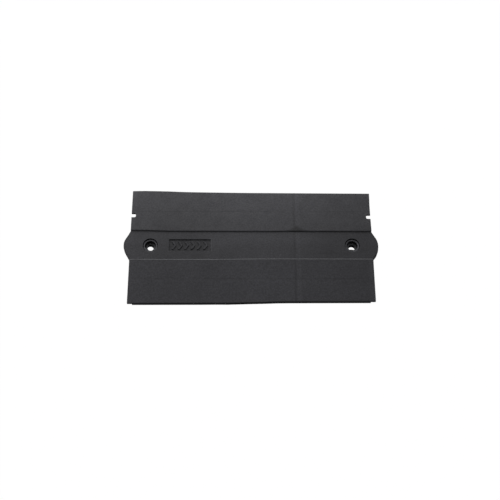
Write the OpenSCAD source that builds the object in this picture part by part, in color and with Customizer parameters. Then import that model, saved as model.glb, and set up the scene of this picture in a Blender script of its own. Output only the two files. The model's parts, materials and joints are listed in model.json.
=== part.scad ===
// Modular rubber speed bump, one section with a rounded joint tongue at each end.
// Millimetres. X runs along the bump, Y across it in the direction of travel, Z up.
// The origin is on the ground, at the centre of the section. Left is -X and the rear is +Y.

/* [Section] */
// Length of the section along the bump, without the tongues
section_length = 500; // [480:5:600]
// Depth of the section in the direction of travel
section_depth = 250; // [240:5:320]
// Height of the two crests above the ground
crest_height = 20; // [19:0.5:26]
// Height of the front and rear lips above the ground
lip_height = 10; // [9:0.5:12]
// Thickness of the rubber skin above the hollows
skin_thickness = 5.5; // [4.5:0.5:6]

/* [Crest band] */
// Width of the sunken band between the two crests
band_width = 64; // [58:1:70]
// Depth of the band below the crests
band_drop = 3; // [2:0.5:4]

/* [End joints] */
// Distance that the skin overhangs the base at each end
flange_reach = 9.5; // [8:0.5:12]
// Distance from a fixing hole to its end of the section
hole_to_end = 41.5; // [38:0.5:46]
// Radius of the rounded nose of each tongue
tongue_radius = 36; // [33:1:38]
// Distance that each tongue reaches beyond the section
tongue_reach = 12.7; // [11:0.1:15]
// Angle on the nose at which its straight flanks begin
flank_angle = 34; // [32:1:40]
// Width of the notch in each rear flange
notch_width = 10; // [8:1:16]
// Corner radius at the inner end of each notch
notch_radius = 3; // [1:0.5:3.5]
// Distance of each notch from the centre line of the band
notch_offset = 68; // [60:0.5:72]

/* [Fixing points] */
// Diameter of the bolt hole
bolt_hole_d = 13; // [12:0.5:15]
// Diameter of the deep recess for the bolt head
head_recess_d = 22.5; // [20:0.5:24]
// Diameter of the shallow rim recess at the band's surface
rim_recess_d = 30.5; // [27:0.5:34]
// Depth of the shallow rim recess
rim_recess_depth = 3; // [2:0.5:4]
// Outside diameter of the moulded-in steel washer
washer_d = 37; // [32:1:38]
// Thickness of the steel washer
washer_thickness = 3; // [2:0.5:3.5]
// Rubber left below the steel washer
washer_cover = 1.5; // [1:0.5:2]

/* [Underside] */
// Thickness of the outer walls around the hollow underside
wall_thickness = 8; // [6:1:10]
// Thickness of the ribs
rib_thickness = 5; // [4:0.5:7]
// Number of bays between the two cross ribs beside the fixing points
rib_bays = 6; // [5:1:7]
// Distance of the long mid-ramp rib from the centre line
ramp_rib_offset = 78; // [70:1:84]
// Diameter of the solid boss around each fixing hole
boss_d = 46; // [44:1:48]
// Thickness of the wall around the hollow of each joint tongue
ring_wall = 6; // [5:0.5:7]

/* [Marking panel] */
// Length of the sunken panel
panel_length = 86; // [60:1:90]
// Width of the sunken panel
panel_width = 26.5; // [16:0.5:30]
// Depth of the sunken panel
panel_depth = 2.5; // [1:0.5:3]
// Distance of the panel's centre from the middle of the section
panel_offset = 127; // [110:1:130]
// Number of plain chevrons in the panel
chevron_count = 6; // [3:1:7]
// Height of the chevrons above the panel's floor
chevron_height = 2; // [0.4:0.2:2.4]

/* [Hidden] */
$fn = 180;

// Section and band
half_length = section_length / 2;
half_depth = section_depth / 2;
half_band = band_width / 2;
band_z = crest_height - band_drop;
base_length = section_length - 2 * flange_reach;

// Upper line of the section, as [y, z] from the rear lip to the front lip
upper_line = [
    [half_depth, lip_height],
    [half_band, crest_height],
    [half_band, band_z],
    [-half_band, band_z],
    [-half_band, crest_height],
    [-half_depth, lip_height]
];

// Tongue at the +X end: the centre of its nose, and the point where a flank begins
hole_x = half_length - hole_to_end;
nose_x = half_length + tongue_reach - tongue_radius;
flank_x = nose_x + tongue_radius * cos(flank_angle);
flank_y = tongue_radius * sin(flank_angle);
notch_depth = flange_reach - 0.5;

// Ribs: the outermost cross ribs stand just inside the fixing points, the others evenly between
boss_gap = 10.5; // from a boss to the middle of the nearest cross rib
last_rib_x = hole_x - boss_d / 2 - boss_gap;
cross_rib_places = [for (i = [0:rib_bays]) last_rib_x * (2 * i / rib_bays - 1)];
band_rib_thickness = rib_thickness + 1;
spoke_length = section_length / 8;
spoke_angle = 60;

// Panel and chevrons
panel_start_x = -panel_offset - panel_length / 2;
panel_floor_z = band_z - panel_depth;
chevron_start = 5;     // from the panel's -X end to the first chevron
chevron_end_room = 8;  // panel length left out of the chevrons' pitch
chevron_gap = 3;
chevron_stroke = 4;    // width of a chevron's arms, along X
chevron_width = panel_width - 9;
chevron_root = 0.5;    // part of a chevron sunk in the panel's floor
chevron_pitch = (panel_length - chevron_end_room) / chevron_count;
chevron_length = chevron_pitch - chevron_gap;

// Distances that cuts run past the surfaces they open
relief_margin = 0.5;
cut_margin = 1;
open_margin = 5;

// Children drawn for the +X end, mirrored to the -X end when side is -1
module at_end(side) {
    mirror([side < 0 ? 1 : 0, 0, 0]) children();
}

// A bar of the given 2D outline (Y, Z), centred on X
module along(length) {
    rotate([90, 0, 90])
        linear_extrude(length, center = true)
            children();
}

// The section's full outline, from the ground to the two ramps and the sunken band
module full_outline() {
    polygon(concat([[-half_depth, 0], [half_depth, 0]], upper_line));
}

// The skin alone: the upper line, and the same line lowered as its underside
module skin_outline() {
    underside = [
        for (i = [len(upper_line) - 1:-1:0]) upper_line[i] - [0, skin_thickness]
    ];
    polygon(concat(underside, upper_line));
}

// A wall or rib that runs the base's full length at a given Y
module long_rib(y, thickness) {
    translate([-base_length / 2, y - thickness / 2, 0])
        cube([base_length, thickness, crest_height]);
}

// A wall or rib that runs the full depth at a given X
module cross_rib(x, thickness) {
    translate([x - thickness / 2, -half_depth, 0])
        cube([thickness, section_depth, crest_height]);
}

// Outer walls and the grid of ribs below the skin, cut to the section's outline
module base_walls() {
    intersection() {
        along(base_length) full_outline();
        union() {
            for (side = [-1, 1]) {
                long_rib(side * (half_depth - wall_thickness / 2), wall_thickness);
                long_rib(side * ramp_rib_offset, rib_thickness);
                long_rib(side * half_band, band_rib_thickness);
                cross_rib(side * (base_length / 2 - wall_thickness / 2), wall_thickness);
            }
            for (x = cross_rib_places) cross_rib(x, rib_thickness);
        }
    }
}

// The tongue's outline: a round nose, with straight flanks that run out to the crests' ends
module tongue_plan() {
    translate([nose_x, 0]) circle(r = tongue_radius);
    polygon([
        [hole_x, -half_band], [half_length, -half_band], [flank_x, -flank_y],
        [flank_x, flank_y], [half_length, half_band], [hole_x, half_band]
    ]);
}

// Solid block in the shape of the tongue, from the ground to the band's surface
module tongue_block(side) {
    at_end(side) linear_extrude(band_z) tongue_plan();
}

// Hollow under the tongue and around the fixing point, less a boss and its radial ribs
module tongue_relief(side) {
    start_x = last_rib_x + rib_thickness / 2;
    half_width = half_band - band_rib_thickness / 2;
    height = band_z - skin_thickness + relief_margin;
    at_end(side) difference() {
        union() {
            translate([nose_x, 0, -relief_margin])
                cylinder(r = tongue_radius - ring_wall, h = height);
            translate([start_x, -half_width, -relief_margin])
                cube([nose_x - start_x, 2 * half_width, height]);
        }
        translate([hole_x, 0, -cut_margin]) cylinder(d = boss_d, h = crest_height);
        for (angle = [0:spoke_angle:360 - spoke_angle])
            translate([hole_x, 0, 0])
                rotate([0, 0, angle])
                    translate([0, -rib_thickness / 2, -cut_margin])
                        cube([spoke_length, rib_thickness, crest_height]);
    }
}

// Stepped fixing hole: rim recess, head recess, washer pocket and bolt hole
module fixing_cut(side) {
    translate([side * hole_x, 0, 0]) {
        translate([0, 0, band_z - rim_recess_depth])
            cylinder(d = rim_recess_d, h = rim_recess_depth + open_margin);
        translate([0, 0, washer_cover + washer_thickness])
            cylinder(d = head_recess_d, h = crest_height);
        translate([0, 0, washer_cover]) cylinder(d = washer_d, h = washer_thickness);
        translate([0, 0, -cut_margin]) cylinder(d = bolt_hole_d, h = crest_height);
    }
}

// Outline of a notch, from its rounded inner end at X = 0 to past the end of the section
module notch_plan() {
    corner_y = notch_width / 2 - notch_radius;
    translate([notch_radius, -notch_width / 2])
        square([notch_depth - notch_radius + open_margin, notch_width]);
    translate([0, -corner_y]) square([notch_depth, 2 * corner_y]);
    for (s = [-1, 1])
        translate([notch_radius, s * corner_y]) circle(r = notch_radius, $fn = 48);
}

// Notch in a rear flange, cut through its full height
module notch_cut(side) {
    at_end(side)
        translate([half_length - notch_depth, notch_offset, -cut_margin])
            linear_extrude(crest_height + 2 * cut_margin)
                notch_plan();
}

// Sunken panel in the band
module panel_cut() {
    translate([panel_start_x, -panel_width / 2, panel_floor_z])
        cube([panel_length, panel_width, panel_depth + cut_margin]);
}

// One plain chevron, pointing along +X
module chevron(length, width, stroke) {
    polygon([
        [0, -width / 2], [stroke, -width / 2], [length, 0],
        [stroke, width / 2], [0, width / 2], [length - stroke, 0]
    ]);
}

// Row of chevrons that stand on the panel's floor
module panel_chevrons() {
    for (i = [0:chevron_count - 1])
        translate([
            panel_start_x + chevron_start + i * chevron_pitch,
            0,
            panel_floor_z - chevron_root
        ])
            linear_extrude(chevron_height + chevron_root)
                chevron(chevron_length, chevron_width, chevron_stroke);
}

module rubber_body() {
    color([0.075, 0.075, 0.08]) union() {
        difference() {
            union() {
                along(section_length) skin_outline();
                base_walls();
                for (side = [-1, 1]) tongue_block(side);
            }
            for (side = [-1, 1]) {
                tongue_relief(side);
                fixing_cut(side);
                notch_cut(side);
            }
            panel_cut();
        }
        panel_chevrons();
    }
}

// Flat steel ring moulded into the rubber at the foot of a head recess
module seat_washer(side) {
    color([0.55, 0.56, 0.58])
        translate([side * hole_x, 0, washer_cover]) difference() {
            cylinder(d = washer_d, h = washer_thickness);
            translate([0, 0, -cut_margin])
                cylinder(d = bolt_hole_d, h = washer_thickness + 2 * cut_margin);
        }
}

module left_seat_washer() {
    seat_washer(-1);
}

module right_seat_washer() {
    seat_washer(1);
}

rubber_body();
left_seat_washer();
right_seat_washer();
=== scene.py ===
# A moulded rubber section: two ramps rise to crests on either side of a flat band, whose round
# ends stand out as tongues. Each tongue has a stepped fixing hole with a steel washer in it.
# The length runs along X (left is -X), the front ramp falls towards -Y and the rear ramp
# towards +Y, and the underside lies at Z = 0.
import json
import math

import bmesh
import bpy
from mathutils import Matrix, Vector


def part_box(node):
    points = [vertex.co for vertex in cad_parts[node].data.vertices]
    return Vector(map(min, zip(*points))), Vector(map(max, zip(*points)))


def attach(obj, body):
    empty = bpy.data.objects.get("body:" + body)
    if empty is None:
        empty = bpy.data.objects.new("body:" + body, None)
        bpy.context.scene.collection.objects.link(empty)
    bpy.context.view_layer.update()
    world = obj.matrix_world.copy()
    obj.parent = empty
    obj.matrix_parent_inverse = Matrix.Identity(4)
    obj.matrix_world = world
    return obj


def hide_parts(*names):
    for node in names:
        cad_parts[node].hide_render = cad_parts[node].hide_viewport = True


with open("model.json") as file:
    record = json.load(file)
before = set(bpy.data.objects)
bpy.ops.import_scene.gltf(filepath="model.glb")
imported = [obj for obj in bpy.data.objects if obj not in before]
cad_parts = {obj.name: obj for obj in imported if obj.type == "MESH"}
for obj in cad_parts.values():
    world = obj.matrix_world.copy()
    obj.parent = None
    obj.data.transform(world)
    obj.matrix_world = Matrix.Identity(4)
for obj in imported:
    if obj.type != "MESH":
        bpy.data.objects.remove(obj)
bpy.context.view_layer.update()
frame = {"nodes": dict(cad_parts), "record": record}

# ---------------------------------------------------------------- sizes, in millimetres
body_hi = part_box("rubber_body")[1]
washer_lo, washer_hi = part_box("right_seat_washer")
MOUNTS = {mount["name"]: mount["dims"] for mount in frame["record"]["mounts"]}
HOLE_X = MOUNTS["fixing_holes"]["spacing_x_mm"] / 2          # fixing holes at X = +-HOLE_X
BOLT_R = MOUNTS["fixing_holes"]["hole_r_mm"]
HALF_DEPTH = round(body_hi.y * 1000, 3)
CREST_Z = round(body_hi.z * 1000, 3)
NOSE_R = MOUNTS["right_joint_tongue"]["r_mm"]                # round nose of a tongue
NOSE_X = round(body_hi.x * 1000 - NOSE_R, 3)                 # and its centre
BAND_Z = MOUNTS["right_joint_tongue"]["length_mm"]           # the band's surface
HALF_BAND = 32.0
HALF_LENGTH = HOLE_X + 41.5
LIP_Z = 10.0                                                 # top of the front and rear edges
SKIN = 5.5                                                   # thickness of the rubber
FLANGE = 9.5                                                 # the skin stands out past the base
HALF_BASE = HALF_LENGTH - FLANGE
ROOF_Z = BAND_Z - SKIN                                       # roof of the hollows under the band
WALL = 8.0                                                   # outer walls of the underside
BAND_WALL = 3.0                                              # half the wall under a band edge
LONG_RIB_Y = 78.0
HALF_RIB = 2.5
LAST_RIB_X = HOLE_X - 33.5
WASHER_R = round((washer_hi.x - washer_lo.x) * 500, 3)
WASHER_Z0, WASHER_Z1 = round(washer_lo.z * 1000, 3), round(washer_hi.z * 1000, 3)
# (x, y): the left hole came out of the mould slightly to the front
HOLES = ((-HOLE_X, -0.6), (HOLE_X, 0.0))
PANEL_X, PANEL_HALF_LENGTH, PANEL_HALF_WIDTH = -127.0, 43, 13.25

# angles along a rounded edge, in degrees
COARSE_ARC = (22, 45, 68, 90)
FINE_ARC = (15, 30, 45, 60, 75, 90)


def ramp_z(y):
    """Height of a ramp's surface at y."""
    return LIP_Z + (HALF_DEPTH - abs(y)) / (HALF_DEPTH - HALF_BAND) * (CREST_Z - LIP_Z)


# ---------------------------------------------------------------- outlines
def rounded(points, radii, step=15):
    """Counter-clockwise polygon with rounded corners, in arcs of about step degrees.

    radii is one radius or a list of them. A radius of 0 keeps the corner.
    """
    out = []
    count = len(points)
    if not isinstance(radii, list):
        radii = [radii] * count
    for i, radius in enumerate(radii):
        before, corner, after = (Vector(points[j % count]) for j in (i - 1, i, i + 1))
        back, ahead = (before - corner).normalized(), (after - corner).normalized()
        angle = back.angle(ahead)
        if radius <= 0 or angle > math.radians(179):
            out.append(corner)
            continue
        run = radius / math.tan(angle / 2)
        centre = corner + (back + ahead).normalized() * (radius / math.sin(angle / 2))
        start, end = corner + back * run - centre, corner + ahead * run - centre
        turn = math.atan2(start.x * end.y - start.y * end.x, start.dot(end))
        pieces = max(2, int(math.ceil(abs(turn) / math.radians(step))))
        for j in range(pieces + 1):
            a = turn * j / pieces
            out.append(centre + Vector((start.x * math.cos(a) - start.y * math.sin(a),
                                        start.x * math.sin(a) + start.y * math.cos(a))))
    return out


def inset(points, distance):
    """The polygon moved inwards (outwards if distance is negative), corner by corner."""
    out = []
    for i, corner in enumerate(points):
        edge_in = (corner - points[i - 1]).normalized()
        edge_out = (points[(i + 1) % len(points)] - corner).normalized()
        normal = Vector((-edge_in.y, edge_in.x))
        both = normal + Vector((-edge_out.y, edge_out.x))
        both = both.normalized() if both.length > 1e-6 else normal
        out.append(corner + both * (distance / max(0.3, both.dot(normal))))
    return out


def circle(radius, count, centre_x, centre_y):
    angles = [2 * math.pi * i / count for i in range(count)]
    return [Vector((centre_x + radius * math.cos(a), centre_y + radius * math.sin(a)))
            for a in angles]


def rectangle(x0, x1, y0, y1):
    return [(x0, y0), (x1, y0), (x1, y1), (x0, y1)]


def mirrored(outline):
    """The outline on the other side of X = 0, still counter-clockwise."""
    return [Vector((-p.x, p.y)) for p in reversed(outline)]


def nose_arc(radius, half_angle, steps):
    """Arc about the right tongue's centre, with so many steps on either side of Y = 0."""
    angles = [half_angle * (j / steps - 1) for j in range(2 * steps + 1)]
    return [(NOSE_X + radius * math.cos(a), radius * math.sin(a)) for a in angles]


def round_over(radius, top, angles, at=0.0, side=1):
    """(distance, height) points of a rounded edge that starts at distance `at`.

    It reaches `top` at 90 degrees. The distance grows if side is 1 and shrinks if it is -1.
    """
    return [(at + side * (radius - radius * math.cos(math.radians(a))),
             top - radius + radius * math.sin(math.radians(a))) for a in angles]


# ---------------------------------------------------------------- solids
def add_object(name, bm):
    mesh = bpy.data.meshes.new(name)
    bm.to_mesh(mesh)
    bm.free()
    obj = bpy.data.objects.new(name, mesh)
    bpy.context.scene.collection.objects.link(obj)
    return obj


def solid(bm, name="tool"):
    bmesh.ops.remove_doubles(bm, verts=bm.verts, dist=1e-5)
    bmesh.ops.recalc_face_normals(bm, faces=bm.faces)
    return add_object(name, bm)


def loft(rings, bm=None):
    """Closed solid through rings of 3D points that all have the same count."""
    bm = bm or bmesh.new()
    rows = [[bm.verts.new(p) for p in ring] for ring in rings]
    count = len(rows[0])
    for a, b in zip(rows, rows[1:]):
        for i in range(count):
            bm.faces.new((a[i], a[(i + 1) % count], b[(i + 1) % count], b[i]))
    bm.faces.new(list(reversed(rows[0])))
    bm.faces.new(rows[-1])
    return bm


def stack(outline, levels, height=lambda y: 0.0):
    """Rings of the (X, Y) outline at (inset, z) levels. height(y) is added to every z."""
    return [[Vector((p.x, p.y, z + height(p.y))) for p in inset(outline, distance)]
            for distance, z in levels]


def bar(outline, half, radius):
    """The (Y, Z) outline run along X from -half to half, with both end edges rounded."""
    end = round_over(radius, half, (0, 22.5, 45, 67.5, 90))
    stations = [(distance, -x) for distance, x in reversed(end)] + end
    return loft([[Vector((x, p.x, p.y)) for p in inset(outline, distance)]
                 for distance, x in stations])


def turned(profile, count, centre_x, centre_y):
    """Rings of a (radius, z) profile about a vertical axis."""
    return [[Vector((p.x, p.y, z)) for p in circle(radius, count, centre_x, centre_y)]
            for radius, z in profile]


def boolean(target, tool, operation):
    """Applies the tool to the target, removes the tool and cleans the seam."""
    for obj in (target, tool):
        bm = bmesh.new()
        bm.from_mesh(obj.data)
        bmesh.ops.triangulate(bm, faces=bm.faces[:])
        bm.to_mesh(obj.data)
        bm.free()
    modifier = target.modifiers.new("boolean", "BOOLEAN")
    modifier.operation = operation
    modifier.solver = "MANIFOLD"
    modifier.object = tool
    depsgraph = bpy.context.evaluated_depsgraph_get()
    mesh = bpy.data.meshes.new_from_object(target.evaluated_get(depsgraph))
    target.modifiers.clear()
    old = target.data
    target.data = mesh
    bpy.data.meshes.remove(old)
    bpy.data.objects.remove(tool, do_unlink=True)
    bm = bmesh.new()
    bm.from_mesh(mesh)
    bmesh.ops.remove_doubles(bm, verts=bm.verts, dist=5e-4)
    bmesh.ops.dissolve_degenerate(bm, edges=bm.edges, dist=5e-4)
    bmesh.ops.delete(bm, geom=[e for e in bm.edges if not e.link_faces], context="EDGES")
    bmesh.ops.delete(bm, geom=[v for v in bm.verts if not v.link_edges], context="VERTS")
    bm.to_mesh(mesh)
    bm.free()


def scale_to_metres(bm):
    bmesh.ops.scale(bm, vec=(0.001, 0.001, 0.001), verts=bm.verts)


def shade_smooth(bm, sharp_over):
    """Smooth faces, with sharp edges above an angle in degrees."""
    for face in bm.faces:
        face.smooth = True
    for edge in bm.edges:
        edge.smooth = edge.calc_face_angle(0) <= math.radians(sharp_over)


def weight_normals(obj):
    obj.modifiers.new("weighted_normals", "WEIGHTED_NORMAL").keep_sharp = True


# ---------------------------------------------------------------- the rubber body
def skin_outline():
    """(Y, Z) outline of both ramps and their crests, with the floor just under the band."""
    floor_z = BAND_Z - 0.03
    points = [(-HALF_DEPTH, LIP_Z - SKIN), (-HALF_BAND, CREST_Z - SKIN), (-HALF_BAND, ROOF_Z),
              (HALF_BAND, ROOF_Z), (HALF_BAND, CREST_Z - SKIN), (HALF_DEPTH, LIP_Z - SKIN),
              (HALF_DEPTH, LIP_Z), (HALF_BAND, CREST_Z), (HALF_BAND, floor_z),
              (-HALF_BAND, floor_z), (-HALF_BAND, CREST_Z), (-HALF_DEPTH, LIP_Z)]
    return rounded(points, [0.9, 0, 0, 0, 0, 0.9, 1.1, 1.3, 0.8, 0.8, 2.2, 1.1], step=10)


def base_outline():
    """(Y, Z) outline of the shorter block below the skin, kept under the skin's surface."""
    gap = 0.45
    side = HALF_BAND + 1
    lip, crest, band = LIP_Z - gap - 0.8, CREST_Z - gap - 0.5, BAND_Z - gap
    points = [(-HALF_DEPTH, 0), (HALF_DEPTH, 0), (HALF_DEPTH, lip), (side, crest), (side, band),
              (-side, band), (-side, crest), (-HALF_DEPTH, lip)]
    return rounded(points, [0.7, 0.7, 0, 0, 0, 0, 0, 0])


def add_band(body):
    """The band runs through the section and ends in the two round tongues."""
    nose = nose_arc(NOSE_R, math.radians(34), 28)
    shoulder_x = HALF_LENGTH - 0.25
    shoulder = [(HALF_BASE - 2.5, -HALF_BAND - 4), (HALF_BASE - 1, -HALF_BAND - 1.4),
                (shoulder_x, -HALF_BAND - 1.4), (shoulder_x, -HALF_BAND - 0.2)]
    end = shoulder + nose + [(x, -y) for x, y in reversed(shoulder)]
    radii = [0, 0, 0, 4] + [0] * len(nose) + [4, 0, 0, 0]
    outline = rounded(end + [(-x, -y) for x, y in end], radii * 2, step=8)
    edge_r = 2.3
    levels = [(0.6, 0.0), (0.18, 0.18), (0, 0.6), (0, BAND_Z - edge_r)]
    levels += round_over(edge_r, BAND_Z, range(10, 90, 10)) + [(edge_r, BAND_Z)]
    boolean(body, solid(loft(stack(outline, levels))), "UNION")


def cut_hollows(body):
    """Hollows between the walls and ribs of the underside."""
    ribs = [LAST_RIB_X * (2 * i / 6 - 1) for i in range(7)]
    end_x, end_y = HALF_BASE - WALL, HALF_DEPTH - WALL
    starts = [-end_x] + [x + HALF_RIB for x in ribs]
    ends = [x - HALF_RIB for x in ribs] + [end_x]
    outer = (LONG_RIB_Y + HALF_RIB, end_y)
    inner = (HALF_BAND + BAND_WALL, LONG_RIB_Y - HALF_RIB)
    under_band = HALF_BAND - BAND_WALL
    rows = [(-outer[1], -outer[0]), (-inner[1], -inner[0]), (-under_band, under_band),
            inner, outer]
    bm = bmesh.new()
    for x0, x1 in zip(starts, ends):
        for y0, y1 in rows:
            centre = y0 == -y1
            if centre and abs(x0 + x1) > 2 * LAST_RIB_X:
                continue                          # the tongues' hollows take up these places
            outline = rounded(rectangle(x0, x1, y0, y1), 2.5, step=22)
            roof = (lambda y: ROOF_Z) if centre else (lambda y: ramp_z(y) - SKIN)
            mouth = stack(outline, [(-0.25, -1.0), (-0.2, 0.0)])
            loft(mouth + stack(outline, [(0, -1.0), (0.3, -0.3), (1.0, 0.0)], roof), bm)
    boolean(body, solid(bm), "DIFFERENCE")


def boss_outline():
    """The right hole's boss with its six radial ribs."""
    boss_r, reach = 23.0, 52
    half_gap = math.asin(HALF_RIB / boss_r)
    star = []
    for k in range(6):
        a = math.radians(60 * k)
        star += [(reach * math.cos(a) + side * HALF_RIB * math.sin(a),
                  reach * math.sin(a) - side * HALF_RIB * math.cos(a)) for side in (1, -1)]
        arc = [a + half_gap + (math.radians(60) - 2 * half_gap) * j / 8 for j in range(9)]
        star += [(boss_r * math.cos(b), boss_r * math.sin(b)) for b in arc]
    radii = ([0, 0, 1.4] + [0] * 7 + [1.4]) * 6
    return [Vector((p.x + HOLE_X, p.y)) for p in rounded(star, radii, step=22)]


def cut_tongue_hollows(body):
    nose_r, half_width = NOSE_R - 6.0, HALF_BAND - BAND_WALL
    start_x = LAST_RIB_X + HALF_RIB
    nose = nose_arc(nose_r, math.asin(half_width / nose_r), 20)
    hollow = rounded([(start_x, -half_width)] + nose + [(start_x, half_width)],
                     [2.5] + [0] * len(nose) + [2.5], step=22)
    boss = boss_outline()
    hollow_levels = [(-0.25, -1.0), (-0.2, 0.0), (0, ROOF_Z - 1.0), (0.3, ROOF_Z - 0.3),
                     (1.0, ROOF_Z)]
    boss_levels = [(-0.05, -2.0), (0, ROOF_Z - 0.8), (-0.3, ROOF_Z - 0.2), (-0.8, ROOF_Z + 1)]
    for hollow_side, boss_side in ((mirrored(hollow), mirrored(boss)), (hollow, boss)):
        cut = solid(loft(stack(hollow_side, hollow_levels)))
        boolean(cut, solid(loft(stack(boss_side, boss_levels))), "DIFFERENCE")
        boolean(body, cut, "DIFFERENCE")


def cut_fixing_holes(body):
    """Stepped holes with rounded rims, and the seats of the washers below."""
    wide_r, narrow_r = 15.25, 11.25
    ledge_z = BAND_Z - 3.0
    ledge_round, rim_round = 0.45, 0.5
    profile = [(WASHER_R, WASHER_Z0), (WASHER_R, WASHER_Z1), (narrow_r, WASHER_Z1),
               (narrow_r, ledge_z - ledge_round)]
    profile += round_over(ledge_round, ledge_z, FINE_ARC, at=narrow_r)
    profile += [(wide_r - 0.5, ledge_z), (wide_r - 0.15, ledge_z + 0.15),
                (wide_r, ledge_z + 0.5), (wide_r, BAND_Z - rim_round)]
    profile += round_over(rim_round, BAND_Z, FINE_ARC, at=wide_r)
    profile += [(wide_r + rim_round, BAND_Z + 3)]
    bm = bmesh.new()
    for x, y in HOLES:
        loft(turned(profile, 96, x, y), bm)
    boolean(body, solid(bm), "DIFFERENCE")


def cut_bolt_bores(body):
    """Bores below the washers.

    The core pins stood a little off centre, so the rubber covers a part of each bolt hole.
    """
    # centre x, centre y, radius, then the y and the slope of a flat across the bore's front;
    # the left flat lies clear of its bore
    bores = ((-HOLE_X - 0.8, -3.7, 7.1, -20.0, 0.0),
             (HOLE_X - 0.4, -4.1, 7.2, -3.0, -0.07))
    levels = [(-0.3, -1.0), (-0.3, 0.0), (0, 0.35), (0, WASHER_Z0 + 0.5)]
    bm = bmesh.new()
    for centre_x, centre_y, radius, flat_y, slope in bores:
        points = circle(radius, 96, centre_x, centre_y)
        flat = [flat_y + slope * (p.x - centre_x) for p in points]
        points = [Vector((p.x, max(p.y, limit))) for p, limit in zip(points, flat)]
        clear = [p.y > limit + 1e-6 for p, limit in zip(points, flat)]
        kept = [p for i, p in enumerate(points)
                if clear[i] or clear[i - 1] or clear[(i + 1) % len(points)]]
        loft(stack(kept, levels), bm)
    boolean(body, solid(bm), "DIFFERENCE")


def cut_notches(body):
    """A notch in each end flange of the rear ramp."""
    notch_y, half_width, edge_r = 68.0, 5.0, 0.5
    outline = rounded(rectangle(HALF_LENGTH - (FLANGE - 0.5), HALF_LENGTH + 6,
                                notch_y - half_width, notch_y + half_width), [3, 0, 0, 3])
    levels = [(0, -12.0), (0, -edge_r)]
    levels += round_over(edge_r, 0.0, COARSE_ARC, side=-1) + [(-edge_r, 3.0)]
    bm = bmesh.new()
    for notch in (mirrored(outline), outline):
        loft(stack(notch, levels, ramp_z), bm)
    boolean(body, solid(bm), "DIFFERENCE")


def add_marking_panel(body):
    """Sunken panel left of centre, with a row of chevrons that point right on its floor."""
    floor_z, edge_r = BAND_Z - 2.5, 0.4
    left = PANEL_X - PANEL_HALF_LENGTH
    outline = rounded(rectangle(left, PANEL_X + PANEL_HALF_LENGTH,
                                -PANEL_HALF_WIDTH, PANEL_HALF_WIDTH), 0.9, step=18)
    levels = [(0.35, floor_z), (0.1, floor_z + 0.1), (0, floor_z + 0.35), (0, BAND_Z - edge_r)]
    levels += round_over(edge_r, BAND_Z, COARSE_ARC, side=-1) + [(-edge_r, BAND_Z + 2)]
    boolean(body, solid(loft(stack(outline, levels))), "DIFFERENCE")

    count, pitch, margin = 6, 13.0, 5
    length, half_height, arm = 10.0, 8.75, 4.0
    levels = [(-0.25, floor_z - 0.6), (-0.15, floor_z + 0.1), (0, floor_z + 0.35),
              (0, floor_z + 1.7), (0.08, floor_z + 1.9), (0.3, floor_z + 2.0)]
    bm = bmesh.new()
    for i in range(count):
        x = left + margin + i * pitch
        points = [(x, -half_height), (x + arm, -half_height), (x + length, 0),
                  (x + arm, half_height), (x, half_height), (x + length - arm, 0)]
        loft(stack(rounded(points, 0.5, step=30), levels), bm)
    boolean(body, solid(bm), "UNION")


def build_body():
    body = solid(bar(skin_outline(), HALF_LENGTH, 0.75), "rubber_section")
    boolean(body, solid(bar(base_outline(), HALF_BASE, 0.6)), "UNION")
    for step in (add_band, cut_hollows, cut_tongue_hollows, cut_fixing_holes, cut_bolt_bores,
                 cut_notches, add_marking_panel):
        step(body)
    return body


def unit(value):
    return max(0.0, min(1.0, value))


def rise(value, start, end):
    """0 before start, 1 after end and an S-curve between them."""
    t = unit((value - start) / (end - start))
    return t * t * (3 - 2 * t)


def settle(x, y, z):
    """The slight set of a moulding that cooled unevenly.

    It is sideways only, a few millimetres at the corners, and nothing near the fixing holes.
    to_rear is the move along +Y and to_right the move along +X.
    """
    depth = HALF_DEPTH
    left, right = unit(-x / HALF_LENGTH), unit(x / HALF_LENGTH)
    # front ramp: rearwards on the right, slightly forwards on the left
    front = rise(-y, 16, 32) * 0.5 + unit((-y - 32) / 93) * 0.5
    to_rear = front * (2.8 * rise(x, -100, 45) - 0.4)
    # front lip: a skew, and a sag in the middle
    to_rear += rise(-y, 90, depth) * (0.9 * right - 0.7 * left)
    to_rear -= 0.9 * rise(-y, 80, depth) * rise(x, -80, -40) * (1 - rise(x, 30, 60))
    # rear lip outwards, most on the left, and the rear ramp forwards on the right
    to_rear += rise(y, 72, depth) * (0.6 + 3.6 * left ** 1.3)
    to_rear -= (rise(y, 34, 62) - 0.4 * rise(y, 80, depth)) * 1.5 * right
    # rear crest forwards, but rearwards at its left end
    crest = 0.9 * rise(x, -205, -165) * (1 - rise(x, 40, 85)) + 0.5 * rise(x, 95, 125)
    crest -= 0.8 * rise(-x, 195, 235)
    to_rear -= crest * rise(y, 27, 32) * (1 - rise(y, 36, 70))
    # bulge of the rear lip on the left
    to_rear += 1.0 * rise(y, 88, depth) * rise(-x, 135, 180) * (1 - rise(-x, 225, HALF_LENGTH))
    # both ends spread at the front, and the right end at the rear
    spread = 1.9 * left + 1.5 * right
    to_right = unit((-y - 20) / 105) * spread * (1 if x > 0 else -1)
    to_right += rise(y, 85, depth) * 1.2 * right
    # right end between the centre line and the front crest, and the middle of the left end
    to_right += 1.9 * rise(x, 236, 252) * rise(-y, 2, 24) * (1 - rise(-y, 28.5, 32))
    to_right -= 0.9 * rise(-x, 236, 254) * (1 - rise(abs(y - 1), 6, 18))
    # upper edge of the front lip, then the left end of the rear ramp
    to_rear += rise(-y, 112, depth) * rise(z, 3, 8.5) * (0.5 + 0.45 * rise(x, 10, 90))
    to_rear += 1.0 * rise(-x, 225, 245) * rise(y, 42, 60) * (1 - rise(y, 78, 96))
    return x + to_right, y + to_rear


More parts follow.
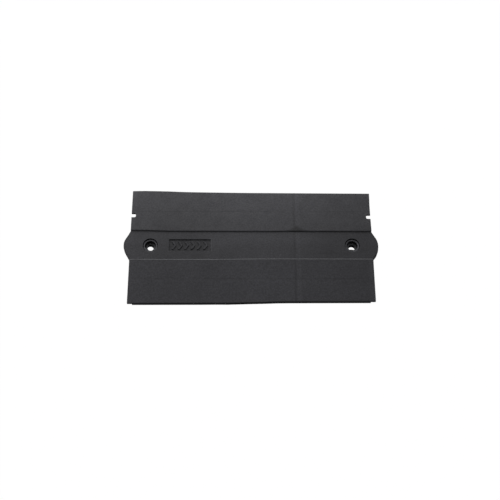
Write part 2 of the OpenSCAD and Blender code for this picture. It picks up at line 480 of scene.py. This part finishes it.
def cut_across(bm, point, normal):
    bmesh.ops.bisect_plane(bm, geom=bm.verts[:] + bm.edges[:] + bm.faces[:], dist=1e-3,
                           plane_co=point, plane_no=normal)


def finish_body(body):
    bm = bmesh.new()
    bm.from_mesh(body.data)
    bmesh.ops.remove_doubles(bm, verts=bm.verts, dist=2e-3)
    bmesh.ops.dissolve_degenerate(bm, edges=bm.edges, dist=2e-3)
    bmesh.ops.dissolve_limit(bm, angle_limit=math.radians(0.2), use_dissolve_boundaries=False,
                             verts=bm.verts, edges=bm.edges)
    bmesh.ops.triangulate(bm, faces=bm.faces[:])
    # cuts give the large faces points to bend at; small offsets keep them off the edges
    step, offset_x, offset_y = 25.0, 0.37, 0.29
    x = -HALF_LENGTH + step
    while x < HALF_LENGTH:
        cut_across(bm, (x + offset_x, 0, 0), (1, 0, 0))
        x += step
    for y in (-110, -95, -70, -50, 50, 70, 95, 110):
        cut_across(bm, (0, y + offset_y, 0), (0, 1, 0))
    bmesh.ops.triangulate(bm, faces=[f for f in bm.faces if len(f.verts) > 4])
    for vert in bm.verts:
        vert.co.x, vert.co.y = settle(*vert.co)
    scale_to_metres(bm)
    shade_smooth(bm, sharp_over=32)
    bm.to_mesh(body.data)
    bm.free()
    weight_normals(body)


# ---------------------------------------------------------------- the steel washers
def build_washer(name, centre_x, centre_y):
    """Stamped ring: rounded upper edges from the punch and a square lower side."""
    outer_r, inner_r = WASHER_R - 0.03, BOLT_R
    bottom, top = WASHER_Z0 + 0.01, WASHER_Z1 - 0.01
    edge_r, burr = 0.35, 0.12
    profile = [(inner_r + burr, bottom), (inner_r, bottom + burr), (inner_r, top - edge_r)]
    profile += round_over(edge_r, top, COARSE_ARC, at=inner_r)
    profile += round_over(edge_r, top, (90, 68, 45, 22, 0), at=outer_r, side=-1)
    profile += [(outer_r, bottom + burr), (outer_r - burr, bottom)]
    bm = bmesh.new()
    count = 128
    rows = [[bm.verts.new(p) for p in ring] for ring in turned(profile, count, centre_x, centre_y)]
    for a, b in zip(rows, rows[1:] + rows[:1]):
        for i in range(count):
            bm.faces.new((a[i], b[i], b[(i + 1) % count], a[(i + 1) % count]))
    scale_to_metres(bm)
    bmesh.ops.recalc_face_normals(bm, faces=bm.faces)
    shade_smooth(bm, sharp_over=35)
    washer = add_object(name, bm)
    weight_normals(washer)
    return washer


# ---------------------------------------------------------------- node helpers
class Value:
    """A node's output. Arithmetic and comparison with it build Math nodes."""

    def __init__(self, socket):
        self.socket = socket

    def output(self, key):
        """Another output of the same node."""
        return Value(self.socket.node.outputs[key])

    def __add__(self, other):
        return calculate("ADD", self, other)

    def __sub__(self, other):
        return calculate("SUBTRACT", self, other)

    def __rsub__(self, other):
        return calculate("SUBTRACT", other, self)

    def __mul__(self, other):
        return calculate("MULTIPLY", self, other)

    def __truediv__(self, other):
        return calculate("DIVIDE", self, other)

    def __gt__(self, other):
        return calculate("GREATER_THAN", self, other)

    def __lt__(self, other):
        return calculate("LESS_THAN", self, other)

    def __abs__(self):
        return calculate("ABSOLUTE", self)

    def scaled(self, by, plus):
        return calculate("MULTIPLY_ADD", self, by, plus)

    def split(self):
        parts = add_node(self.socket.id_data, "SeparateXYZ", {0: self})
        return [parts.output(i) for i in range(3)]

    def noise(self, scale, detail, rough=0.5, distort=0.0, w=None):
        """Noise at this position. A w picks another slice of 4D noise."""
        inputs = {"Vector": self, "Scale": scale, "Detail": detail, "Roughness": rough,
                  "Distortion": distort}
        if w is not None:
            inputs["W"] = w
        return add_node(self.socket.id_data, "TexNoise", inputs,
                        noise_dimensions="3D" if w is None else "4D").output("Fac")

    def ease(self, over, to=(0.0, 1.0), smooth=True):
        """Maps the range `over` to the range `to`, on an S-curve or a straight line."""
        inputs = {"Value": self, "From Min": over[0], "From Max": over[1],
                  "To Min": to[0], "To Max": to[1]}
        return add_node(self.socket.id_data, "MapRange", inputs,
                        interpolation_type="SMOOTHSTEP" if smooth else "LINEAR").output("Result")

    def near(self, centre, half, soft):
        """1 within half of centre, falling to 0 over soft."""
        return abs(self - centre).ease(over=(half, half + soft), to=(1.0, 0.0))


def add_node(tree, kind, inputs=None, **settings):
    """Adds a node and returns its first output. Inputs are Values or constants."""
    node = tree.nodes.new("ShaderNode" + kind)
    for key, value in settings.items():
        setattr(node, key, value)
    for key, value in (inputs or {}).items():
        connect(node.inputs[key], value)
    return Value(node.outputs[0])


def connect(socket, value):
    if isinstance(value, Value):
        socket.id_data.links.new(value.socket, socket)
    else:
        socket.default_value = value


def calculate(operation, *operands, clamp=False):
    tree = next(v.socket.id_data for v in operands if isinstance(v, Value))
    return add_node(tree, "Math", dict(enumerate(operands)), operation=operation,
                    use_clamp=clamp)


def larger(a, b):
    return calculate("MAXIMUM", a, b)


def shade(tone, mask, by):
    """Changes the tone by a fraction where the mask is 1."""
    return tone * mask.scaled(by=by, plus=1.0)


def mix_colours(factor, a, b):
    return add_node(factor.socket.id_data, "Mix", {"Factor": factor, "A": a, "B": b},
                    data_type="RGBA").output("Result")


def bump(height):
    """Normals from a relief in metres."""
    return add_node(height.socket.id_data, "Bump", {"Distance": 1.0, "Height": height})


def clear_tree(owner, output="OutputMaterial"):
    """Empties the owner's node tree and returns it with the Surface input of its output."""
    owner.use_nodes = True
    tree = owner.node_tree
    tree.nodes.clear()
    return tree, tree.nodes.new("ShaderNode" + output).inputs["Surface"]


# ---------------------------------------------------------------- rubber, in metres
FALL = (1.0, 0.0)


def mottling(position, stretched):
    """Broad mottling, handling marks, fine mottling and fine grain."""
    broad = position.noise(scale=16, detail=3, rough=0.55)
    flow = stretched.noise(scale=70, detail=4, rough=0.6, distort=0.6)
    fine = position.noise(scale=300, detail=3, rough=0.65)
    grain = position.noise(scale=1500, detail=2, rough=0.6)
    return ((broad.ease(over=(0.3, 0.7), to=(0.955, 1.045))
             * flow.ease(over=(0.3, 0.7), to=(0.97, 1.03)))
            * (fine.ease(over=(0.25, 0.75), to=(0.74, 1.26))
               * grain.ease(over=(0.25, 0.75), to=(0.88, 1.12))))


def stains_and_painted_light(tone, position, stretched, x, y, z):
    """Stains, painted light and painted shade laid over the tone. Wavering x and y give them
    uneven borders.
    """
    drift = (position.noise(scale=8, detail=2, w=4.4) - 0.5) * 0.02
    wx, wy = drift.scaled(by=2.0, plus=x), y + drift
    # painted light from front to rear: the rear ramp, facing the rear lamp, is painted palest
    # towards the rear lip
    across = wy.ease(over=(0.036, 0.122), to=(0.86, 1.14), smooth=False)
    across += wy.ease(over=(0.010, 0.036), to=(0.11, 0.0))
    across += wy.ease(over=(-0.045, -0.020), to=(0.05, 0.0))
    across += wy.ease(over=(0.000, 0.008), to=(-0.07, 0.0)) * wy.ease(over=(-0.034, -0.030))
    across += wy.ease(over=(-0.038, -0.032), to=(0.04, 0.0))
    # painted light in the middle of the length: paler rear ramp and rear half of the band, where
    # the rear lamp's sheen falls
    middle = wx.ease(over=(-0.105, -0.075)) * wx.ease(over=(0.105, 0.165), to=FALL)
    across += middle * wy.ease(over=(0.035, 0.115), to=(0.02, 0.08))
    across += middle * (wy.ease(over=(-0.012, 0.008), to=(0.0, 0.13))
                        * wy.ease(over=(0.029, 0.033), to=FALL))
    # the band is darker on the right, and around the panel on the left
    in_band = y.ease(over=(-0.0325, -0.0315)) * y.ease(over=(0.0315, 0.0325), to=FALL)
    across += (wx.ease(over=(0.02, 0.08), to=(0.0, -0.09)) * in_band) * 1.0
    across += ((wx.ease(over=(-0.11, -0.075), to=(-0.14, 0.0)) * in_band)
               * (wx.ease(over=(-0.235, -0.19)) * wy.ease(over=(0.006, 0.02), to=(1.0, 0.2))))
    # darker strip on the front crest, strongest right of centre
    across += (wx.ease(over=(-0.03, 0.03), to=(0.2, 1.0))
               * ((wy.ease(over=(-0.034, -0.031), to=(-0.11, 0.0))
                   * wx.ease(over=(0.10, 0.13), to=(1.0, 0.4)))
                  * wy.ease(over=(-0.085, -0.045))))
    # darker left part of the rear ramp
    across += ((wx.ease(over=(-0.225, -0.19), to=(0.0, -0.06))
                * wx.ease(over=(-0.11, -0.08), to=FALL)) * y.ease(over=(0.0325, 0.0335)))
    # stains along the rear crest and in the band
    stain = stretched.noise(scale=34, detail=4, rough=0.62, distort=0.4, w=12.0)
    stain = stain.ease(over=(0.50, 0.66))
    stained = wy.ease(over=(-0.034, -0.028)) * wy.ease(over=(0.040, 0.056), to=FALL)
    across += (stain * stained) * -0.10
    # painted light along the length: brightest near the middle, a little lighter at the left end,
    # darker towards the right end
    along = (wx.ease(over=(0.06, 0.25), to=(1.0, 0.875))
             * wx.ease(over=(-0.09, -0.01), to=(0.95, 1.05)))
    along += wx.ease(over=(-0.235, -0.17), to=(0.06, 0.0))
    tone = tone * (across * along)
    # painted shadow in the corner between the band and the rear crest, cast by the crest's step
    corner = (y + drift * 0.05).ease(over=(0.0255, 0.0305)) * (z < 0.0188)
    return shade(tone, corner * (y < 0.034), by=-0.12)


def sink_lines(position, y):
    """Faint patchy lines above the long ribs."""
    line = abs(y - 0.0016).near(0.0764, half=0.0009, soft=0.0016)
    return line * position.noise(scale=9, detail=2, w=3.1).ease(over=(0.4, 0.62), to=(0.2, 1.0))


def dust_specks(tree, position):
    cells = add_node(tree, "TexVoronoi", {"Vector": position, "Scale": 150}, feature="F1")
    chosen = cells.output("Color").split()[0] > 0.965
    return chosen * cells.output("Distance").ease(over=(0.05, 0.12), to=FALL)


def hole_painted_light(tone, x, y, z):
    """Painted shade on the walls of both steps, and a painted highlight on the ledge.

    Returns the tone and the mask of the walls with painted shade.
    """
    from_x = abs(x) - HOLE_X / 1000
    from_y = y - (x < 0.0) * (HOLES[0][1] / 1000)
    radius = calculate("SQRT", from_x * from_x + from_y * from_y)
    inside = radius.ease(over=(0.0152, 0.0155), to=FALL)
    # painted highlight: the ledge between the two steps is painted paler
    ledge_highlight = ((radius.ease(over=(0.0139, 0.0144), to=FALL) * radius.ease(over=(0.0112, 0.0116)))
             * z.near(0.0139, half=0.00025, soft=0.0002))
    # painted shade on the wall of the wide step and on the bore below the ledge
    wide_wall_shade = (inside * radius.ease(over=(0.0141, 0.0146))) * z.ease(over=(0.0136, 0.0138))
    bore_shade = radius.ease(over=(0.0114, 0.0118), to=FALL) * z.ease(over=(0.0132, 0.0136), to=FALL)
    # painted highlight: the right side of the right hole is painted brighter, as if lit from the
    # left
    right_side_highlight = (x > 0.0) * (x + y * -0.35).ease(over=(0.2135, 0.2205), to=(0.0, 1.4))
    tone = shade(tone, ledge_highlight, by=right_side_highlight + 0.85)
    tone = shade(tone, wide_wall_shade, by=right_side_highlight.scaled(by=0.6, plus=-0.92))
    return shade(tone, bore_shade, by=-0.62), larger(wide_wall_shade, bore_shade)


def edge_wear_and_highlights(tree, position, x, y, z):
    """Edges rubbed paler, with painted highlights on the crests' inner edges, the right end wall
    of the panel and the rear lip.
    """
    geometry = add_node(tree, "NewGeometry")
    wear_and_highlight = geometry.output("Pointiness").ease(over=(0.52, 0.62))
    patches = position.noise(scale=90, detail=3, rough=0.6, w=5.5)
    wear_and_highlight = wear_and_highlight * patches.ease(over=(0.35, 0.6), to=(0.35, 1.0))
    wear_and_highlight = wear_and_highlight * z.ease(over=(0.006, 0.009))
    normal_y, normal_z = geometry.output("Normal").split()[1:]
    wear_and_highlight = wear_and_highlight * normal_z.ease(over=(0.97, 0.988), to=FALL)
    # painted highlight on the crests' inner edges, the front one much more, where the rounded
    # crest catches the rear lamp
    crest_edge_highlight = abs(normal_y).ease(over=(0.12, 0.35)) * z.ease(over=(0.0183, 0.0192))
    crest_edge_highlight = crest_edge_highlight * (y < 0.0).scaled(by=1.9, plus=0.5)
    patches = position.noise(scale=130, detail=3, rough=0.6, w=1.1)
    crest_edge_highlight = crest_edge_highlight * patches.ease(over=(0.35, 0.62), to=(0.65, 1.1))
    crest_edge_highlight = crest_edge_highlight * (x.ease(over=(-0.22, -0.05), to=(0.75, 1.3))
                       * x.ease(over=(0.09, 0.16), to=(1.0, 0.8)))
    wear_and_highlight = larger(wear_and_highlight, crest_edge_highlight)
    # painted highlight on the right end wall of the panel, which faces the side lamp
    panel_wall_highlight = x.near(-0.0838, half=0.0006, soft=0.0004) * (
        y.near(0.0, half=0.0128, soft=0.0006) * z.ease(over=(0.0150, 0.0158)))
    wear_and_highlight = larger(wear_and_highlight, panel_wall_highlight * 0.8)
    # painted highlight along the rear lip's upper edge
    lip = normal_y.ease(over=(0.16, 0.35)) * z.ease(over=(0.0087, 0.0092))
    return larger(wear_and_highlight, (lip * y.ease(over=(0.120, 0.1215))) * 1.5)


def rubber_material():
    material = bpy.data.materials.new("moulded_rubber")
    tree, surface = clear_tree(material)
    position = add_node(tree, "TexCoord").output("Object")
    x, y, z = position.split()
    stretched = add_node(tree, "Mapping", {"Vector": position, "Scale": (0.25, 1.0, 1.0)})

    tone = mottling(position, stretched)
    # stains, with painted light from front to rear and along the length, and a painted shadow
    # below the rear crest
    tone = stains_and_painted_light(tone, position, stretched, x, y, z)

    # the end flanges are a little lighter, the front right one most
    front_right = (x > 0.0) * (y < -0.033)
    tone = shade(tone, abs(x).ease(over=(0.2395, 0.2412)),
                 by=front_right.scaled(by=0.12, plus=0.05))
    sink = sink_lines(position, y)
    tone = shade(tone, sink, by=-0.15)

    # knit line, where two flows of rubber met in the mould: dark, with a pale band beside it
    waver = (position.noise(scale=22, detail=3, w=1.7) - 0.5) * 0.006
    knit_x = x + waver
    knit = knit_x.near(0.0895, half=0.0010, soft=0.0030)
    knit = knit * position.noise(scale=30, detail=2, w=8.2).ease(over=(0.3, 0.6), to=(0.45, 1.0))
    pale = knit_x.near(0.0965, half=0.0020, soft=0.005)
    beyond = knit_x.ease(over=(0.086, 0.094)).scaled(by=-0.05, plus=1.0)
    tone = tone * knit.scaled(by=-0.20, plus=pale.scaled(by=0.14, plus=beyond))

    # a dark smudge on the rear crest, tapering to the rear
    smudge = (abs((x + waver) - 0.0945) / 0.024) + ((y - 0.031) / 0.0155)
    smudge = smudge.ease(over=(0.5, 1.1), to=FALL) * (y > 0.0305)
    tone = shade(tone, smudge, by=-0.62)

    # a short pale scuff beside the front crest
    scuff = (y.scaled(by=-0.5, plus=x).near(0.0705, half=0.0007, soft=0.0012)
             * y.near(-0.0245, half=0.0035, soft=0.003))
    tone = shade(tone, scuff, by=0.35)
    speck = dust_specks(tree, position)

    # painted shade on the sunken panel's floor, where its walls and chevrons shade it
    panel_floor_shade = ((x.near(PANEL_X / 1000, half=0.0425, soft=0.0006)
              * y.near(0.0, half=0.0129, soft=0.0006)) * z.ease(over=(0.0146, 0.0164), to=FALL))
    tone = shade(tone, panel_floor_shade, by=-0.30)
    # painted shade on the holes' walls and a painted highlight on their ledges
    tone, shaded_walls = hole_painted_light(tone, x, y, z)

    # painted shade: the lower walls at the front and rear are painted dark
    low_wall_shade = abs(y).ease(over=(0.1215, 0.1225)) * z.ease(over=(0.0083, 0.0094), to=FALL)
    tone = shade(tone, low_wall_shade, by=-0.55)

    # rubbed edges, and painted highlights on the crests' inner edges, the panel's right end wall
    # and the rear lip
    wear_and_highlight = edge_wear_and_highlights(tree, position, x, y, z)
    rubber_rgb, wear_and_highlight_rgba = (0.0362, 0.0359, 0.0407), (0.130, 0.130, 0.137, 1)
    speck_rgba = (0.14, 0.14, 0.145, 1)
    colour = add_node(tree, "CombineColor", {i: tone * v for i, v in enumerate(rubber_rgb)})
    colour = mix_colours(calculate("MULTIPLY", wear_and_highlight, 0.5, clamp=True), colour, wear_and_highlight_rgba)
    colour = mix_colours(speck * 0.3, colour, speck_rgba)

    broad = position.noise(scale=40, detail=4, rough=0.6, w=2.2)
    fine = position.noise(scale=700, detail=2, w=6.1)
    rough = broad.ease(over=(0.3, 0.7), to=(0.50, 0.60)) + wear_and_highlight * 0.06
    rough += fine.ease(over=(0.3, 0.7), to=(-0.04, 0.04))

    # relief: spark-eroded grain, then patterns with their heights
    height = position.noise(scale=1900, detail=3, rough=0.65) * 0.00005
    for pattern, amount in (
            (position.noise(scale=330, detail=3, w=4.0), 0.00007),     # slight orange peel
            (position.noise(scale=28, detail=3, w=7.0), 0.00045),      # broad unevenness
            (knit, -0.00008), (sink, -0.00009), (speck, 0.00010)):
        height = pattern.scaled(by=amount, plus=height)

    # no specular on the holes' walls that carry painted shade
    connect(surface, add_node(tree, "BsdfPrincipled", {
        "Base Color": colour, "Roughness": rough, "Normal": bump(height), "IOR": 1.5,
        "Specular IOR Level": (1.0 - shaded_walls) * 0.28}))
    return material


# ---------------------------------------------------------------- steel
def steel_material():
    """Grey phosphated steel with dirt and spots of rust."""
    material = bpy.data.materials.new("phosphated_steel")
    tree, surface = clear_tree(material)
    position = add_node(tree, "TexCoord").output("Object")
    spangle = position.noise(scale=420, detail=4, rough=0.6)
    dirt = position.noise(scale=160, detail=4, rough=0.65, w=2.0).ease(over=(0.45, 0.7))
    rust = position.noise(scale=300, detail=5, rough=0.7, w=9.0).ease(over=(0.6, 0.72))
    dark, light = (0.055, 0.056, 0.060, 1), (0.105, 0.107, 0.113, 1)
    dirt_rgba, rust_rgba = (0.020, 0.020, 0.021, 1), (0.070, 0.033, 0.018, 1)
    colour = mix_colours(spangle.ease(over=(0.3, 0.7)), dark, light)
    colour = mix_colours(dirt * 0.6, colour, dirt_rgba)
    colour = mix_colours(rust * 0.55, colour, rust_rgba)
    grain = position.noise(scale=1500, detail=3, rough=0.6) * 0.00003
    connect(surface, add_node(tree, "BsdfPrincipled", {
        "Base Color": colour, "Metallic": 1.0 - larger(dirt, rust) * 0.7,
        "Roughness": spangle.ease(over=(0.3, 0.7), to=(0.38, 0.55)),
        "Normal": bump(rust.scaled(by=0.00004, plus=grain))}))
    return material


# ---------------------------------------------------------------- floor, world and light
WHITE = (1, 1, 1, 1)


def floor_material():
    """Nearly white to the camera, and a mid grey to all other light."""
    material = bpy.data.materials.new("pale_floor")
    tree, surface = clear_tree(material)
    camera_ray = add_node(tree, "LightPath").output("Is Camera Ray")
    glow = add_node(tree, "Emission", {"Color": WHITE, "Strength": 1.02})
    position = add_node(tree, "TexCoord").output("Object")
    grey = position.noise(scale=3, detail=3).ease(over=(0.3, 0.7), to=(0.28, 0.31))
    colour = add_node(tree, "CombineColor", {0: grey, 1: grey, 2: grey})
    matt = add_node(tree, "BsdfDiffuse", {"Color": colour})
    seen = add_node(tree, "MixShader", {0: 0.02, 1: glow, 2: matt})
    connect(surface, add_node(tree, "MixShader", {0: camera_ray, 1: matt, 2: seen}))
    return material


def build_floor():
    half, z = 6.0, -0.0004
    mesh = bpy.data.meshes.new("floor")
    corners = [(x, y, z) for x, y in rectangle(-half, half, -half, half)]
    mesh.from_pydata(corners, [], [(0, 1, 2, 3)])
    floor = bpy.data.objects.new("floor", mesh)
    bpy.context.scene.collection.objects.link(floor)
    mesh.materials.append(floor_material())


def build_world():
    """White to the camera. As a light it is brighter overhead than at floor height."""
    world = bpy.data.worlds.new("studio")
    bpy.context.scene.world = world
    tree, surface = clear_tree(world, "OutputWorld")
    camera_ray = add_node(tree, "LightPath").output("Is Camera Ray")
    direction_z = add_node(tree, "TexCoord").output("Generated").split()[2]
    strength = direction_z.ease(over=(0.0, 1.0), to=(0.065, 0.60), smooth=False)
    sky = add_node(tree, "Background", {"Color": WHITE, "Strength": strength})
    backdrop = add_node(tree, "Background", {"Color": WHITE, "Strength": 1.0})
    connect(surface, add_node(tree, "MixShader", {0: camera_ray, 1: sky, 2: backdrop}))


def softbox(name, azimuth, elevation, distance, size, power):
    """Area light aimed at the origin. Azimuth 0 is behind the object, positive towards +X."""
    a, e = math.radians(azimuth), math.radians(elevation)
    direction = Vector((math.sin(a) * math.cos(e), math.cos(a) * math.cos(e), math.sin(e)))
    light = bpy.data.lights.new(name, "AREA")
    light.shape = "RECTANGLE"
    light.size, light.size_y = size
    light.energy = power
    obj = bpy.data.objects.new(name, light)
    obj.location = direction * distance
    obj.rotation_mode = "QUATERNION"
    obj.rotation_quaternion = (-direction).to_track_quat("-Z", "Y")
    bpy.context.scene.collection.objects.link(obj)


def build_camera():
    """Looks down from the front, turned a little to the right and rolled."""
    pitch, yaw, roll = math.radians(65.51), math.radians(2.88), math.radians(2.72)
    # distance from the origin, and the origin's place right of and above the view's centre line
    distance, origin_right, origin_up = 2.0449, 0.00274511, 0.00295307
    forward = Vector((math.sin(yaw) * math.cos(pitch), math.cos(yaw) * math.cos(pitch),
                      -math.sin(pitch)))
    level = Vector((math.cos(yaw), -math.sin(yaw), 0))
    upright = level.cross(forward)
    right = level * math.cos(roll) + upright * math.sin(roll)
    up = -level * math.sin(roll) + upright * math.cos(roll)
    data = bpy.data.cameras.new("camera")
    data.sensor_width = 36
    data.sensor_fit = "HORIZONTAL"
    data.lens = 70.7976
    data.clip_start = 0.05
    data.clip_end = 50
    camera = bpy.data.objects.new("camera", data)
    pose = Matrix((right, up, -forward)).transposed().to_4x4()
    pose.translation = -(right * origin_right + up * origin_up + forward * distance)
    camera.matrix_world = pose
    bpy.context.scene.collection.objects.link(camera)
    bpy.context.scene.camera = camera


# ---------------------------------------------------------------- assembly
body = build_body()
finish_body(body)
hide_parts("rubber_body")
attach(body, "root")

washers = []
for side, (x, y) in zip(("left", "right"), HOLES):
    washer = build_washer(side + "_washer_ring", x, y)
    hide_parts(side + "_seat_washer")
    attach(washer, "root")
    washers.append(washer)

rubber = rubber_material()
steel = steel_material()
body.data.materials.clear()
body.data.materials.append(rubber)
for washer in washers:
    washer.data.materials.append(steel)
for name, material in (("rubber_body", rubber), ("left_seat_washer", steel),
                       ("right_seat_washer", steel)):
    for slot in frame["nodes"][name].material_slots:
        slot.material = material

build_floor()
build_world()
softbox("key_softbox", azimuth=-12, elevation=38, distance=1.2, size=(1.5, 0.9), power=9.2)
softbox("side_softbox", azimuth=-88, elevation=22, distance=1.3, size=(0.9, 0.5), power=1.6)
build_camera()
bpy.context.scene.view_settings.view_transform = "Standard"
bpy.context.scene.view_settings.look = "None"

bpy.context.view_layer.update()
